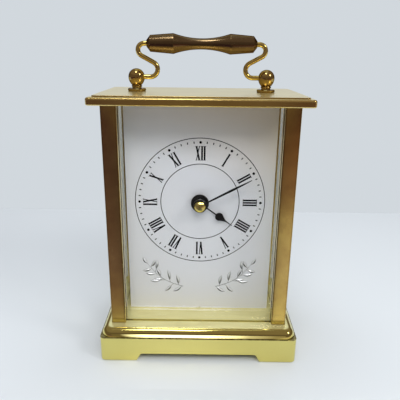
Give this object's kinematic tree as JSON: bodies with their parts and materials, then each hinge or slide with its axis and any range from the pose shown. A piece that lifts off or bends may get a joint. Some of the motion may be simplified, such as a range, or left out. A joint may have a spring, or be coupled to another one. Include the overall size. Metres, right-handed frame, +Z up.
{
  "type": "mantel clock",
  "caption": "Brass carriage clock with glass panes, full-height printed dial, turned bail handle, hinged rear door and a geared quartz movement",
  "frame": {"origin": "under the middle of the base, on the surface it stands on", "axes": "+X to the right of the dial, +Y to the back of the clock, +Z up; the dial faces -Y"},
  "size_m": [0.088, 0.057, 0.1403],
  "materials": {
    "lacquered_brass": "polished and lacquered",
    "bronzed_brass": "turned, with a darker antique lacquer",
    "steel_zinc": "zinc-plated steel",
    "glass": "clear flat glass",
    "dial_enamel": "satin silver-white enamel on sheet metal",
    "black_lacquer": "satin black lacquer",
    "nut_black": "black-lacquered brass",
    "rubber": "soft black rubber",
    "case_plastic": "black moulded plastic",
    "frame_plastic": "white moulded plastic",
    "gear_plastic": "natural acetal",
    "soft_iron": "punched soft iron",
    "magnet": "sintered magnet",
    "copper_wire": "enamelled copper wire",
    "board": "glass-fibre circuit board",
    "resin": "black potting resin",
    "battery_jacket": "printed steel jacket, left plain",
    "contact_nickel": "nickel-plated spring brass"
  },
  "bodies": {
    "case": {"base": "lacquered_brass", "pillar_front_left": "lacquered_brass", "pillar_front_right": "lacquered_brass", "pillar_rear_left": "lacquered_brass", "pillar_rear_right": "lacquered_brass", "top_plate": "lacquered_brass", "tie_screws": "steel_zinc", "front_glass": "glass", "left_glass": "glass", "right_glass": "glass", "ball_post_left": "lacquered_brass", "ball_post_right": "lacquered_brass", "post_washers": "lacquered_brass", "post_nuts": "lacquered_brass", "dial_plate": "dial_enamel", "dial_screw": "steel_zinc", "dial_nut": "nut_black", "rubber_washer": "rubber", "movement_front_case": "case_plastic", "movement_mid_plate": "frame_plastic", "movement_rear_cover": "case_plastic", "stator": "soft_iron", "coil_core": "soft_iron", "stator_screws": "steel_zinc", "coil_bobbin": "frame_plastic", "coil_winding": "copper_wire", "circuit_board": "board", "quartz_crystal": "contact_nickel", "circuit_chip": "resin", "battery": "battery_jacket", "battery_contact_plus": "contact_nickel", "battery_contact_minus": "contact_nickel", "door_stop": "lacquered_brass"},
    "handle": {"handle_grip": "bronzed_brass", "handle_arm_left": "lacquered_brass", "handle_arm_right": "lacquered_brass"},
    "door": {"rear_door": "lacquered_brass", "door_pins": "steel_zinc", "door_knob": "lacquered_brass"},
    "minute_hand_arbor": {"minute_hand": "black_lacquer", "cap_nut": "lacquered_brass", "cannon_pinion": "gear_plastic"},
    "hour_hand_arbor": {"hour_hand": "black_lacquer", "hour_wheel": "gear_plastic"},
    "minute_wheel_arbor": {"minute_wheel": "gear_plastic"},
    "setting_arbor": {"setting_arbor": "gear_plastic", "setting_knob": "case_plastic"},
    "second_arbor": {"second_wheel": "gear_plastic"},
    "centre_arbor": {"centre_wheel": "gear_plastic"},
    "third_arbor": {"third_wheel": "gear_plastic"},
    "intermediate_arbor": {"intermediate_wheel": "gear_plastic"},
    "rotor": {"rotor_pinion": "gear_plastic", "rotor_magnet": "magnet"}
  },
  "joints": [
    {"name": "handle_swing", "type": "hinge", "parent": "case", "child": "handle", "pos_m": [0, 0, 0.1227], "axis": [1, 0, 0], "range_deg": [-96.5, 96.5]},
    {"name": "door_swing", "type": "hinge", "parent": "case", "child": "door", "pos_m": [0.0315, 0.0206, 0], "axis": [0, 0, -1], "range_deg": [0, 110]},
    {"name": "minute_hand_turn", "type": "hinge", "parent": "case", "child": "minute_hand_arbor", "pos_m": [0, 0, 0.0692], "axis": [0, 1, 0], "continuous": true},
    {"name": "hour_hand_turn", "type": "hinge", "parent": "case", "child": "hour_hand_arbor", "pos_m": [0, 0, 0.0692], "axis": [0, 1, 0], "continuous": true},
    {"name": "minute_wheel_turn", "type": "hinge", "parent": "case", "child": "minute_wheel_arbor", "pos_m": [0.00846, 0, 0.07228], "axis": [0, 1, 0], "continuous": true},
    {"name": "setting_knob_turn", "type": "hinge", "parent": "case", "child": "setting_arbor", "pos_m": [0.01079, 0, 0.08097], "axis": [0, 1, 0], "continuous": true},
    {"name": "second_wheel_turn", "type": "hinge", "parent": "case", "child": "second_arbor", "pos_m": [0, 0, 0.0692], "axis": [0, 1, 0], "continuous": true},
    {"name": "centre_wheel_turn", "type": "hinge", "parent": "case", "child": "centre_arbor", "pos_m": [0, 0, 0.0692], "axis": [0, 1, 0], "continuous": true},
    {"name": "third_wheel_turn", "type": "hinge", "parent": "case", "child": "third_arbor", "pos_m": [-0.00804, 0, 0.06778], "axis": [0, 1, 0], "continuous": true},
    {"name": "intermediate_wheel_turn", "type": "hinge", "parent": "case", "child": "intermediate_arbor", "pos_m": [-0.00367, 0, 0.07557], "axis": [0, 1, 0], "continuous": true},
    {"name": "rotor_turn", "type": "hinge", "parent": "case", "child": "rotor", "pos_m": [-0.00614, 0, 0.08233], "axis": [0, 1, 0], "continuous": true}
  ],
  "couplings": [
    {"joint": "hour_hand_turn", "follows": "minute_hand_turn", "ratio": 0.083333},
    {"joint": "minute_wheel_turn", "follows": "minute_hand_turn", "ratio": -0.33333},
    {"joint": "setting_knob_turn", "follows": "minute_hand_turn", "ratio": 1},
    {"joint": "third_wheel_turn", "follows": "second_wheel_turn", "ratio": -0.13333},
    {"joint": "centre_wheel_turn", "follows": "second_wheel_turn", "ratio": 0.016667},
    {"joint": "intermediate_wheel_turn", "follows": "second_wheel_turn", "ratio": -6},
    {"joint": "rotor_turn", "follows": "second_wheel_turn", "ratio": 30}
  ]
}
